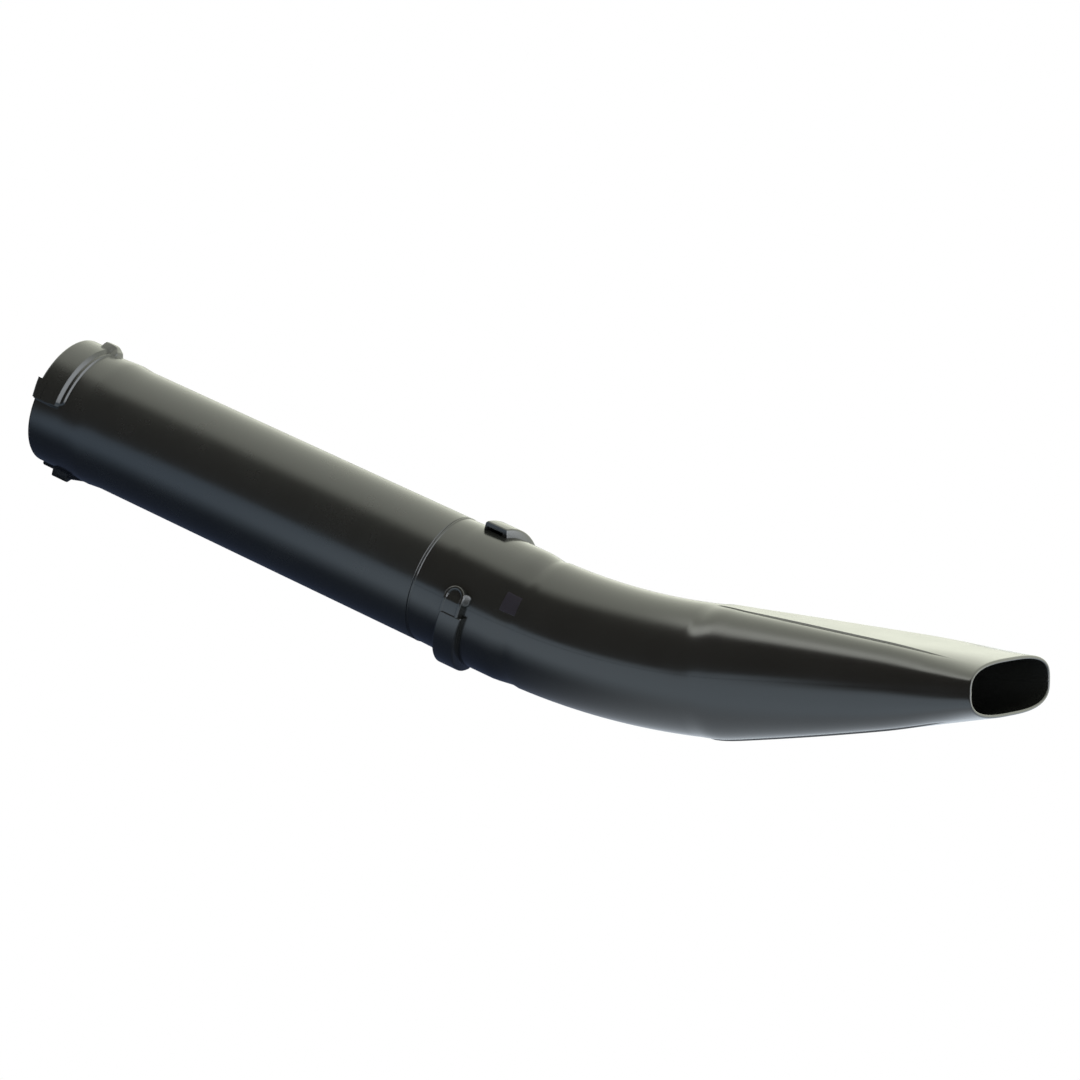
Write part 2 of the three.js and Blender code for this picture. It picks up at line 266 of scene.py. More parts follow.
TUBE_FIRST_CLOCK = -60
TUBE_STEPS = (9, 0.3, 1.6)  # coarse step, fine step and reach along the tube
TUBE_CLOCK_STEPS = (1.6, 0.4, 1.6)  # the same round it
INLET_ROUNDING = 0.5
INLET_ROUNDING_LENGTH = 0.8
END_CHAMFER = 0.3
END_FACE = 0.02  # length in which the tube's end falls to the spigot
NARROWING = (24, 8)  # the bore narrows to the spigot's between these lengths before the tube's end
BEFORE_INLET = -20  # raised shapes that start here run out over the inlet's end

SECTOR_CLOCKS = ((-13.0, 84.0), (173.0, 264.0))
SECTOR_END = 19.1
SECTOR_RISE = 2.6
SECTOR_CORNER = 3.6
SECTOR_EDGE = 0.9
RIB_SPAN = (20.8, 22.4)
RIB_RISE = 1.2
RIB_INSETS = (2, 6)  # the rib stops this many degrees short of its sector's ends
RIB_CORNER = 0.9
RIB_EDGE = 1.1
LEDGE_RISE = 0.5  # a low ledge under the sector and its rib
LEDGE_INSETS = (1, 4)
LEDGE_CORNER = 3.0
LEDGE_EDGE = 1.0

LUG_SPAN = (11.6, 24.8)
LUG_CLOCKS = (-15.0, 2.0)
LUG_FINE_CLOCKS = (-11, -7, -3)
LUG_RISE = 6.2
LUG_TAIL_RISE = 2.4  # the upper lug falls to this at its far end
LUG_CREST = 6  # its crest is level for this length
LUG_SLOPE = 0.48  # millimetres up per degree round, on the side towards the sector
LUG_CORNER = 2.0
LUG_EDGE = 1.8
HEEL_SPAN = (20.0, 38.0)
HEEL_RISE = 3.4
HEEL_EDGE = 1.2
SPIGOT_LUG_SPAN = (336.7, 340.3)
SPIGOT_LUG_CLOCKS = (84.0, 104.0)
SPIGOT_LUG_RISE = 1.9
SPIGOT_LUG_CORNER = 0.5
SPIGOT_LUG_EDGE = 0.6


def tube_radius(s):
    """Outside of the straight tube and its hidden spigot."""
    slope = INLET_RADIUS + (JOINT_RADIUS - INLET_RADIUS) * s / TUBE_END
    socket = SOCKET_STEP * ease((s - RIB_SPAN[1]) / (SOCKET_LENGTH - RIB_SPAN[1]))
    socket = socket * (1 - ease((s - SOCKET_LENGTH) / SOCKET_FALL))
    body = slope + socket - INLET_ROUNDING * ease(1 - s / INLET_ROUNDING_LENGTH)
    chamfer = END_CHAMFER * np.clip(1 - (TUBE_END - s) / END_CHAMFER, 0, 1)
    return np.where(s < TUBE_END + END_FACE / 2, body - chamfer, SPIGOT_RADIUS)


def tube_bore(s):
    """Inside of the tube: the inlet's socket, the plain tube and the narrower spigot."""
    start, end = TUBE_END - NARROWING[0], TUBE_END - NARROWING[1]
    bore = between(s, start, end, JOINT_RADIUS - WALL, SPIGOT_RADIUS - SPIGOT_WALL)
    return np.where(s < SOCKET_DEPTH, SOCKET_BORE_RADIUS, bore)


def sector_rise(s, clock):
    """The inlet's two raised sectors, each with its rib and ledge."""
    rise = np.zeros_like(s)
    for low, high in SECTOR_CLOCKS:
        rib_clocks = (low + RIB_INSETS[0], high - RIB_INSETS[1])
        ledge_clocks = (low + LEDGE_INSETS[0], high - LEDGE_INSETS[1])
        shapes = (
            (SECTOR_RISE, (BEFORE_INLET, SECTOR_END), (low, high), SECTOR_CORNER, SECTOR_EDGE),
            (RIB_RISE, RIB_SPAN, rib_clocks, RIB_CORNER, RIB_EDGE),
            (LEDGE_RISE, (BEFORE_INLET, RIB_SPAN[1]), ledge_clocks, LEDGE_CORNER, LEDGE_EDGE),
        )
        for height, *shape in shapes:
            rise = np.maximum(rise, height * raised(s, clock, INLET_RADIUS, *shape))
    return rise


def outer_lug_rise(s, clock, half_turn, tail_rise):
    """An outer lug: it climbs away from its sector to a crest that falls to tail_rise at its far end."""
    clocks = turned(LUG_CLOCKS, half_turn)
    foot = between(s, SECTOR_END - 1, SECTOR_END + 2, SECTOR_RISE, LEDGE_RISE)
    crest = between(s, LUG_SPAN[0] + LUG_CREST, LUG_SPAN[1] + 1, LUG_RISE, tail_rise)
    inclined = np.clip(foot + LUG_SLOPE * (clocks[1] - clock), 0, crest)
    return inclined * raised(s, clock, INLET_RADIUS, LUG_SPAN, clocks, LUG_CORNER, LUG_EDGE)


def heel_rise(s, clock):
    """The low step behind the lower outer lug."""
    height = between(s, LUG_SPAN[1], HEEL_SPAN[1], HEEL_RISE, 0.0)
    clocks = turned(LUG_CLOCKS, HALF_TURN)
    return height * raised(s, clock, INLET_RADIUS, HEEL_SPAN, clocks, LUG_CORNER, HEEL_EDGE)


def spigot_lug_rise(s, clock, half_turn):
    """A hidden lug on the spigot. It climbs like the collar's pockets."""
    unwound = s - HELIX_SLOPE * (clock - half_turn - HELIX_CLOCK)
    clocks = turned(SPIGOT_LUG_CLOCKS, half_turn)
    return SPIGOT_LUG_RISE * raised(
        unwound, clock, SPIGOT_RADIUS, SPIGOT_LUG_SPAN, clocks, SPIGOT_LUG_CORNER, SPIGOT_LUG_EDGE)


def tube_clocks():
    """Clock angles of the tube's columns, closer together at the sides of raised shapes."""
    edges = []
    for low, high in SECTOR_CLOCKS:
        edges += [low, high, high - 5]
    for half_turn in (0, HALF_TURN):
        lug_edges = (*LUG_CLOCKS, *LUG_FINE_CLOCKS, *SPIGOT_LUG_CLOCKS)
        edges += [clock + half_turn for clock in lug_edges]
    coarse, fine, reach = TUBE_CLOCK_STEPS
    return stations(TUBE_FIRST_CLOCK, TUBE_FIRST_CLOCK + FULL_TURN, coarse, edges, fine, reach)[:-1]


def tube_places():
    """Places of the tube's rows, closer together at the ends of raised shapes."""
    edges = [0, *LUG_SPAN, SECTOR_END, *RIB_SPAN, HEEL_SPAN[1], SOCKET_LENGTH + 1, TUBE_END,
             SPIGOT_LUG_SPAN[0] + 1, SPIGOT_LUG_SPAN[1]]
    coarse, fine, reach = TUBE_STEPS
    places = stations(0, SPIGOT_END, coarse, edges, fine, reach)
    return np.sort(np.append(places, [TUBE_END - END_CHAMFER, TUBE_END, TUBE_END + END_FACE]))


def straight_tube():
    """The straight tube, with the inlet's bayonet and the spigot's lugs moulded on."""
    s, clock = np.meshgrid(tube_places(), tube_clocks(), indexing="ij")
    rise = np.maximum(sector_rise(s, clock), heel_rise(s, clock))
    for half_turn, tail_rise in ((0, LUG_TAIL_RISE), (HALF_TURN, LUG_RISE)):
        rise = np.maximum(rise, outer_lug_rise(s, clock, half_turn, tail_rise))
        rise = np.maximum(rise, spigot_lug_rise(s, clock, half_turn))
    outer = round_points(s, clock, tube_radius(s) + rise)
    inner = round_points(s, clock, tube_bore(s))
    return walled("straight_tube_skin", outer, inner, True)


TAB_SPAN = (-0.3, 5.0)
TAB_SLANT = 0.12  # its end reaches this much further out per degree away from its last clock angle
TAB_CLOCKS = (66.0, 82.4)
TAB_COLUMNS = 24
TAB_RADII = (42.4, 44.8)
TAB_BEVEL = 0.35
TAB_BEVEL_SEGMENTS = 3
TAB_BEVEL_FROM = math.radians(50)


def index_tab(name, half_turn):
    """A curved block on the tube's end with rounded edges."""
    share, clock = np.meshgrid(np.linspace(0, 1, 2), np.linspace(*TAB_CLOCKS, TAB_COLUMNS), indexing="ij")
    start = TAB_SPAN[0] - TAB_SLANT * (TAB_CLOCKS[1] - clock)
    s = start + (TAB_SPAN[1] - start) * share
    clock = clock + half_turn
    outer, inner = round_points(s, clock, TAB_RADII[1]), round_points(s, clock, TAB_RADII[0])
    piece = walled(name, outer, inner, False)
    rounding = piece.modifiers.new("rounded edges", "BEVEL")
    rounding.width = TAB_BEVEL * MM
    rounding.segments = TAB_BEVEL_SEGMENTS
    rounding.limit_method = "ANGLE"
    rounding.angle_limit = TAB_BEVEL_FROM
    return piece


# ---------------------------------------------------------------- curved nozzle

SHELL_STEPS = (4, 0.35, 1.6)  # coarse step, fine step and reach along the nozzle
SHELL_CLOCK_STEPS = (1.5, 0.3, 1.2)  # the same round it
SEAM_FINE_CLOCK = 88.5
RIM_BEAD_ROWS = 9
RIM_ROUNDING_ROWS = 8


def collar_radius(s):
    """Outside of the nozzle's round part, from the collar's rim to the crease."""
    on_bead = np.clip((s - COLLAR_START) / RIM_BEAD_WIDTH, 0, 1)
    rim = COLLAR_RIM_RADIUS + RIM_BEAD * np.sin(np.pi * on_bead)
    ring = between(s, COLLAR_MIDDLE - 0.4, COLLAR_MIDDLE + 0.4, 0, COLLAR_MIDDLE_STEP)
    swell = COLLAR_THICK_RADIUS - COLLAR_RIM_RADIUS - COLLAR_MIDDLE_STEP
    swell = swell * np.clip((s - COLLAR_START) / (COLLAR_THICK - COLLAR_START), 0, 1)
    tapered = ease((s - COLLAR_TAPER) / (COLLAR_END - COLLAR_TAPER))
    taper = (COLLAR_TAPER_RADIUS - COLLAR_THICK_RADIUS) * tapered
    step = between(s, COLLAR_END - 0.2, COLLAR_END + 1.0, 0, BEND_OUTER_RADIUS - COLLAR_TAPER_RADIUS)
    bend = (ROUND_RADIUS - BEND_OUTER_RADIUS) * np.clip((s - COLLAR_END) / (CREASE - COLLAR_END), 0, 1)
    return rim + ring + swell + taper + step + bend


def past_panel(from_top):
    """How far round the shoulder a clock angle lies, from 0 at the panel to 1 at the flank."""
    return np.clip((from_top - PANEL_CLOCK) / (QUARTER_TURN - PANEL_CLOCK), 0, 1)


def round_section(s, from_top, inset):
    """The round section. Its columns gather towards the flat panel's before the crease."""
    panel_turn = math.degrees(math.asin(PANEL_START_HALF_WIDTH / ROUND_RADIUS))
    on_panel = panel_turn * np.minimum(from_top / PANEL_CLOCK, 1)
    gathered = on_panel + (QUARTER_TURN - panel_turn) * past_panel(from_top)
    share = ease((s - COLLAR_END - GATHER_DELAY) / GATHER_LENGTH)
    turn = np.radians(from_top + (gathered - from_top) * share)
    radius = collar_radius(s) - inset
    return radius * np.sin(turn), radius * np.cos(turn)


def flattened_size(s):
    """Half width and half height of the flattened part's outside."""
    widened = np.clip((s - CREASE) / (OUTLET - CREASE), 0, 1) ** WIDENING_POWER
    half_width = ROUND_RADIUS + (OUTLET_HALF_WIDTH - ROUND_RADIUS) * widened
    spread = (s - PANEL_START) / (OUTLET - PANEL_START)
    half_height = PANEL_START_HALF_HEIGHT + (OUTLET_HALF_HEIGHT - PANEL_START_HALF_HEIGHT) * spread
    return half_width, half_height


def flattened_section(s, from_top, over, inset):
    """The flattened section: a flat panel, its sloping edge and a shoulder. It rounds off at the outlet."""
    half_width, half_height = flattened_size(s)
    half_width = half_width - inset
    flat = np.maximum(PANEL_START_HALF_WIDTH + PANEL_SPREAD * (s - PANEL_START), PANEL_LEAST_HALF_WIDTH)
    fade = between(s, PANEL_FADE, PANEL_END, 1, 0)
    behind_crease = ROUND_RADIUS - CREASE_SLOPE * (s - CREASE)
    beside_panel = np.minimum(half_height - PANEL_RISE * fade, behind_crease) - inset
    tip_rise = np.where(over < 0, PANEL_RISE, PANEL_TIP_RISE)
    start = between(s, PANEL_START - 1, PANEL_START + 1, 0, 1)
    risen = fade * start * between(s, PANEL_START, PANEL_FULL, tip_rise, PANEL_RISE)
    on_edge = np.clip((from_top - PANEL_CLOCK + PANEL_EDGE_CLOCK) / PANEL_EDGE_CLOCK, 0, 1)
    on_panel = np.minimum(from_top / (PANEL_CLOCK - PANEL_EDGE_CLOCK), 1)
    shoulder = np.pi / 2 * past_panel(from_top)
    across = (flat - PANEL_EDGE) * on_panel + PANEL_EDGE * on_edge
    across = across + (half_width - flat) * np.sin(shoulder)
    flat_topped = (beside_panel + risen * ease(1 - on_edge)) * np.cos(shoulder)
    beside = np.clip(across / half_width, 0, 1) ** MOUTH_POWER
    rounded = (half_height - inset) * (1 - beside) ** (1 / MOUTH_POWER)
    return across, flat_topped + (rounded - flat_topped) * between(s, MOUTH_START, OUTLET, 0, 1)


def nozzle_section(s, clock, inset):
    """Points of the nozzle's section, inset below its outside. The clock runs from -90 to 270."""
    side, over = np.sign(np.sin(np.radians(clock))), np.sign(np.cos(np.radians(clock)))
    from_top = np.degrees(np.arcsin(np.clip(np.abs(np.sin(np.radians(clock))), 0, 1)))
    round_across, round_up = round_section(s, from_top, inset)
    flat_across, flat_up = flattened_section(s, from_top, over, inset)
    flattened = np.clip((s - CREASE) / FLATTENING, 0, 1)
    across = round_across + (flat_across - round_across) * flattened
    up = round_up + (flat_up - round_up) * flattened
    half_height = flattened_size(s)[1]
    belly = BELLY * np.sin(np.pi * np.clip((s - CREASE) / (OUTLET - CREASE), 0, 1)) / half_height
    return -side * across, np.where(over < 0, -up * (1 + belly), up)


def shell_places():
    """Places of the shells' rows, with the rim's bead and the outlet's rounding drawn finely."""
    edges = (COLLAR_START + 0.5, COLLAR_MIDDLE, COLLAR_THICK, COLLAR_END, CREASE + 1, PANEL_START,
             PANEL_END - 0.5, OUTLET - 0.5)
    coarse, fine, reach = SHELL_STEPS
    rows = stations(COLLAR_START, OUTLET, coarse, edges, fine, reach)
    bead = COLLAR_START + RIM_BEAD_WIDTH * np.linspace(0, 1, RIM_BEAD_ROWS)
    edge_turn = np.sin(np.radians(np.linspace(0, QUARTER_TURN, RIM_ROUNDING_ROWS)))
    rounding = OUTLET - RIM_ROUNDING * (1 - edge_turn)
    return np.unique(np.concatenate([rows, bead, rounding]).round(4))


def nozzle_shell(name, side):
    """The shell above (side 1) or below (side -1) the seam along the duct's two flanks.

    The collar's bore is plain. The CAD's channels for the spigot's lugs are left out, so the hidden lugs
    pass into the collar's wall.
    """
    coarse, fine, reach = SHELL_CLOCK_STEPS
    edges = (PANEL_CLOCK - PANEL_EDGE_CLOCK / 2, SEAM_FINE_CLOCK)
    half_clocks = stations(0, QUARTER_TURN, coarse, edges, fine, reach)
    clocks = np.concatenate([-half_clocks[:0:-1], half_clocks])
    s, clock = np.meshgrid(shell_places(), clocks, indexing="ij")
    bead = SEAM_BEAD * ease(1 - (QUARTER_TURN - np.abs(clock)) / SEAM_BEAD_CLOCK)
    if side < 0:
        clock = HALF_TURN - clock
    rounded = RIM_ROUNDING * fillet((OUTLET - s) / RIM_ROUNDING)
    across, up = nozzle_section(s, clock, rounded)
    outer = on_duct(s, across, up + side * SEAM_GAP / 2)
    bore = between(s, COLLAR_THICK, BEND_START, COLLAR_BORE_RADIUS, BEND_OUTER_RADIUS - WALL)
    inset = np.where(s < COLLAR_END, collar_radius(s) - bore, WALL + bead - rounded)
    across, up = nozzle_section(s, clock, inset)
    inner = on_duct(s, across, up)
    return walled(name, outer, inner, False)


TUNNEL_BASE = 42.0
TUNNEL_FOOT = 1  # height of the upright foot of its sides
TUNNEL_CORNER = 1.3
TUNNEL_CORNER_POINTS = 7
TUNNEL_ROOF = 3.3
TUNNEL_CHAMFER = 0.5  # on the two inner corners under the roof
TUNNEL_SIDES = (1.4, 2.6)  # thickness of the side towards the tube and of the other
TUNNEL_DRAFT = 1.5
TUNNEL_CLOCK_STEPS = (2.0, 0.25, 1.0)
TUNNEL_END_FALL = 0.45  # its ends are rounded down by this
TUNNEL_END_CLOCKS = (0.7, 0.9)


def tunnel_outline():
    """The tunnel's section as (place, radius) points: its outside, then its inside the other way round."""
    bend = np.radians(np.linspace(0, QUARTER_TURN, TUNNEL_CORNER_POINTS))
    corner, foot, far_side = TUNNEL_CORNER, TUNNEL_BASE + TUNNEL_FOOT, POCKET_END + TUNNEL_DRAFT
    outside = [(POCKET_START, TUNNEL_BASE), (POCKET_START, foot)]
    for a in bend:
        place, radius = corner * (1 - np.cos(a)), corner * (1 - np.sin(a))
        outside.append((POCKET_START + place, POCKET_RADIUS - radius))
    for a in bend:
        place, radius = corner * (1 - np.sin(a)), corner * (1 - np.cos(a))
        outside.append((POCKET_END - place, POCKET_RADIUS - radius))
    outside += [(far_side, foot), (far_side, TUNNEL_BASE)]
    low, high = POCKET_START + TUNNEL_SIDES[0], POCKET_END - TUNNEL_SIDES[1]
    top, cut = POCKET_RADIUS - TUNNEL_ROOF, TUNNEL_CHAMFER
    inside = [(low, TUNNEL_BASE), (low, top - cut), (low + cut, top),
              (high - cut, top), (high, top - cut), (high, TUNNEL_BASE)]
    return np.array(outside + inside[::-1])


def pocket_tunnel(name, half_turn):
    """The raised pocket of the bayonet: a low tunnel that climbs round the collar, open at one end."""
    loop = tunnel_outline()
    count = len(loop)
    coarse, fine, reach = TUNNEL_CLOCK_STEPS
    clocks = stations(*POCKET_CLOCKS, coarse, POCKET_CLOCKS, fine, reach)
    s = loop[None, :, 0] + HELIX_SLOPE * (clocks[:, None] - HELIX_CLOCK)
    first_end = ease(1 - (clocks - POCKET_CLOCKS[0]) / TUNNEL_END_CLOCKS[0])
    ends = first_end + ease(1 - (POCKET_CLOCKS[1] - clocks) / TUNNEL_END_CLOCKS[1])
    above_roof = loop[None, :, 1] > POCKET_RADIUS - TUNNEL_ROOF
    radius = loop[None, :, 1] - TUNNEL_END_FALL * ends[:, None] * above_roof
    points = round_points(s, clocks[:, None] + half_turn, radius)
    faces = grid_faces(len(clocks), count, 0, True, True)
    faces += [list(range(count)), list(range((len(clocks) - 1) * count, len(clocks) * count))[::-1]]
    return smooth_mesh(name, points.reshape(-1, 3), faces)


HOOK_ROWS = (331.5, 354.6, 0.25)  # first place, last place and step
HOOK_COLUMNS = (73.0, HELIX_CLOCK + 0.3, 0.28)  # the same in clock angles
HOOK_ARC_RADIUS = 47  # clock angles are measured as lengths at this radius
HOOK_BASE = 41.6
HOOK_SKIRT = 0.4  # depth of its closed underside below the base
HOOK_CENTRE = 341.2
HOOK_RADIUS = 7.4
HOOK_CLOCK = 84.2  # clock angle of the round end's centre
HOOK_RIM = 1.5  # radius of the rim's round section
HOOK_EDGE = 0.6
HOOK_CREST = 48.4
HOOK_FLOOR = 45.2
HOOK_CLIMB = (8, 12)  # it climbs from this many degrees before its centre, for this many degrees
HOOK_SINK = 0.6  # the floor ends this far under the tunnel's top
NOSE_SPAN = (346.6, 351.8)
NOSE_CLOCKS = (78.4, 88.6)
NOSE_CREST = 347.2
NOSE_RADIUS = 48.8
NOSE_SLOPE = 0.8
NOSE_CORNER = 2.4
NOSE_EDGE = 1.2
NOTCH_SPAN = (348.9, 351.4)
NOTCH_CLOCKS = (NOSE_CLOCKS[1] + 0.6, 97.4)
NOTCH_CORNER = 0.6
NOTCH_EDGE = 0.8


def pocket_hook(name, half_turn):
    """The pocket's closed end: a round rim over a hollow whose floor climbs to the tunnel's roof."""
    s, clock = np.meshgrid(np.arange(*HOOK_ROWS), np.arange(*HOOK_COLUMNS), indexing="ij")
    arc = math.radians(1) * HOOK_ARC_RADIUS
    around = np.minimum((clock - HOOK_CLOCK) * arc, 0)
    away = np.hypot(s - HOOK_CENTRE, around) - HOOK_RADIUS
    climb = ease((clock - HOOK_CLOCK + HOOK_CLIMB[0]) / HOOK_CLIMB[1])
    rim_radius = HOOK_CREST + (POCKET_RADIUS - HOOK_CREST) * climb
    floor_radius = HOOK_FLOOR + (POCKET_RADIUS - HOOK_SINK - HOOK_FLOOR) * climb
    from_crest = np.clip((away + HOOK_RIM) / HOOK_RIM, -1, 1)
    rim = rim_radius - HOOK_RIM * (1 - np.sqrt(1 - from_crest ** 2))
    top = np.where(away < -HOOK_RIM, np.maximum(rim, floor_radius), rim)
    radius = HOOK_BASE + (top - HOOK_BASE) * ease(0.5 - away / HOOK_EDGE)
    nose = raised(s, clock, HOOK_ARC_RADIUS, NOSE_SPAN, NOSE_CLOCKS, NOSE_CORNER, NOSE_EDGE)
    nose_radius = NOSE_RADIUS - NOSE_SLOPE * np.maximum(s - NOSE_CREST, 0)
    radius = np.maximum(radius, HOOK_BASE + (nose_radius - HOOK_BASE) * nose)
    notch = raised(s, clock, HOOK_ARC_RADIUS, NOTCH_SPAN, NOTCH_CLOCKS, NOTCH_CORNER, NOTCH_EDGE)
    radius = radius + (HOOK_BASE - radius) * notch
    outer = round_points(s, clock + half_turn, radius)
    inner = round_points(s, clock + half_turn, np.full_like(s, HOOK_BASE - HOOK_SKIRT))
    return walled(name, outer, inner, False)


MARK_ROWS = (370, 384.2, 0.3)
MARK_COLUMNS = (59, 82, 0.35)
MARK_SPAN = (371.6, 383.2)
MARK_CLOCKS = (61.5, 79.0)
MARK_ARC_RADIUS = 44
MARK_CORNER = 0.8
MARK_EDGE = 1.0
MARK_SINK = 0.10  # its surround lies this far under the collar's surface
MARK_RISE = 0.16
MARK_DEPTH = 1.2


def collar_mark(name):
    """A plain raised rectangle on the collar."""
    s, clock = np.meshgrid(np.arange(*MARK_ROWS), np.arange(*MARK_COLUMNS), indexing="ij")
    pad = raised(s, clock, MARK_ARC_RADIUS, MARK_SPAN, MARK_CLOCKS, MARK_CORNER, MARK_EDGE)
    outer = round_points(s, clock, collar_radius(s) - MARK_SINK + MARK_RISE * pad)
    inner = round_points(s, clock, collar_radius(s) - MARK_DEPTH)
    return walled(name, outer, inner, False)


# ---------------------------------------------------------------- materials

TUBE_BLACK = (0.0095, 0.0100, 0.0092)
NOZZLE_BLACK = (0.0085, 0.0088, 0.0080)
MARK_BLACK = (0.013, 0.0115, 0.016)
RUBBED = (0.03, 0.031, 0.03)
MARK_RUBBED = (0.04, 0.04, 0.04)
PLASTIC_IOR = 1.5
MOTTLE_DARK = 0.86  # the colour varies between these times its value
MOTTLE_LIGHT = 1.16
CLOUD_SCALE = 38.0  # noise scales are per metre
GRAIN_SCALE = 1700.0
RIPPLE_SCALE = 26.0
RUBBED_POINTINESS = (0.53, 0.62)
GLOSS_CLOUD = (0.25, 0.75)


def node(tree, kind, **settings):
    """A new node with its inputs or settings filled in by name."""
    made = tree.nodes.new(kind)
    for key, value in settings.items():
        if key in made.inputs:
            made.inputs[key].default_value = value
        else:
            setattr(made, key, value)
    return made


def ramp(tree, source, start, end, low=0.0, high=1.0, kind="SMOOTHSTEP"):
    """A value that goes from low to high while the source goes from start to end."""
    made = node(tree, "ShaderNodeMapRange", interpolation_type=kind)
    for name, value in (("From Min", start), ("From Max", end), ("To Min", low), ("To Max", high)):
        made.inputs[name].default_value = value
    tree.links.new(source, made.inputs["Value"])
    return made.outputs["Result"]


def blend(tree, first, second, factor):
    """A mix of two colours, each given as a colour or as another node's output."""
    made = node(tree, "ShaderNodeMix", data_type="RGBA", blend_type="MIX")
    for name, colour in (("A", first), ("B", second)):
        if isinstance(colour, tuple):
            made.inputs[name].default_value = (*colour, 1)
        else:
            tree.links.new(colour, made.inputs[name])
    tree.links.new(factor, made.inputs["Factor"])
    return made.outputs["Result"]


def moulded_plastic(name, colour, worn, roughness, roughness_change, grain, ripple):
    """Black moulded plastic: a fine grain, slow ripples in the surface and paler, rubbed edges."""
    material = bpy.data.materials.new(name)
    material.use_nodes = True
    tree = material.node_tree
    link = tree.links.new
    shader = tree.nodes["Principled BSDF"]
    shader.inputs["IOR"].default_value = PLASTIC_IOR
    position = node(tree, "ShaderNodeTexCoord")
    cloud = node(tree, "ShaderNodeTexNoise", Scale=CLOUD_SCALE, Detail=4.0, Roughness=0.6)
    fine = node(tree, "ShaderNodeTexNoise", Scale=GRAIN_SCALE, Detail=2.0, Roughness=0.5)
    slow = node(tree, "ShaderNodeTexNoise", Scale=RIPPLE_SCALE, Detail=1.0, Roughness=0.4)
    for texture in (cloud, fine, slow):
        link(position.outputs["Object"], texture.inputs["Vector"])
    darker = tuple(c * MOTTLE_DARK for c in colour)
    lighter = tuple(c * MOTTLE_LIGHT for c in colour)
    mottled = blend(tree, darker, lighter, cloud.outputs["Fac"])
    geometry = node(tree, "ShaderNodeNewGeometry")
    rubbed = node(tree, "ShaderNodeMath", operation="MULTIPLY")
    link(ramp(tree, geometry.outputs["Pointiness"], *RUBBED_POINTINESS), rubbed.inputs[0])
    link(cloud.outputs["Fac"], rubbed.inputs[1])
    link(blend(tree, mottled, worn, rubbed.outputs["Value"]), shader.inputs["Base Color"])
    glossiest, dullest = roughness - roughness_change, roughness + roughness_change
    gloss = ramp(tree, cloud.outputs["Fac"], *GLOSS_CLOUD, glossiest, dullest, "LINEAR")
    link(gloss, shader.inputs["Roughness"])
    waves = node(tree, "ShaderNodeBump", Strength=1.0, Distance=ripple * MM)
    link(slow.outputs["Fac"], waves.inputs["Height"])
    skin = node(tree, "ShaderNodeBump", Strength=1.0, Distance=grain * MM)
    link(fine.outputs["Fac"], skin.inputs["Height"])
    link(waves.outputs["Normal"], skin.inputs["Normal"])
    link(skin.outputs["Normal"], shader.inputs["Normal"])
    return material


# ---------------------------------------------------------------- studio

# Places in this section are in metres, and directions are parts of a unit vector.

CAMERA_PLACE = Vector((1.9186, -3.3092, 0.8717))
CAMERA_AZIMUTH = math.radians(25.18)
CAMERA_ELEVATION = math.radians(12.66)
CAMERA_ROLL = math.radians(18.9)
CAMERA_LENS = 195.47
CAMERA_SENSOR = 36.0
CAMERA_FAR = 50


def camera():
    """The camera, turned about its own line of sight so that the tube slopes down to the right."""
    data = bpy.data.cameras.new("camera")
    data.lens = CAMERA_LENS
    data.sensor_width = CAMERA_SENSOR
    data.clip_end = CAMERA_FAR
    flat = math.cos(CAMERA_ELEVATION)
    back_x, back_y = math.sin(CAMERA_AZIMUTH) * flat, -math.cos(CAMERA_AZIMUTH) * flat
    back = Vector((back_x, back_y, math.sin(CAMERA_ELEVATION)))
    level = (-back).to_track_quat("-Z", "Y").to_matrix()
    rolled = level @ Matrix.Rotation(CAMERA_ROLL, 3, "Z")
    made = bpy.data.objects.new("camera", data)
    made.matrix_world = Matrix.Translation(CAMERA_PLACE) @ rolled.to_4x4()
    bpy.context.scene.collection.objects.link(made)
    bpy.context.scene.camera = made


STUDIO_DARK = (0.15, 0.125, 0.105)
SOFTBOX_BEHIND = (1.85, 1.90, 1.62)
SOFTBOX_ABOVE = (2.15, 2.20, 1.93)
SOFTBOX_RISE = (0.6, 0.9)  # over these heights its colour turns from behind to above
SOFTBOX_FACING = (0, 0.91, 0.41)
SOFTBOX_EDGE = (-0.17, 0.19)
SOFTBOX_SLANTS = ((-0.42, -0.58, -0.16), (-0.64, -0.74, 0.30))  # from X, to X, shift of the front edge
SOFTBOX_STRIP = (4.6, 4.7, 4.3)
STRIP_ACROSS = (-0.62, -0.70)
STRIP_DEPTH = (0.45, 0.20)
STRIP_EDGE = (-0.02, 0.12)
INLET_END_PANEL = (1.5, 1.55, 1.6)
INLET_END_EDGE = (-0.80, -0.95)
OUTLET_END_PANEL = (5.2, 5.5, 5.8)
OUTLET_END_EDGE = (0.5, 0.8)
WHITE = (1, 1, 1, 1)


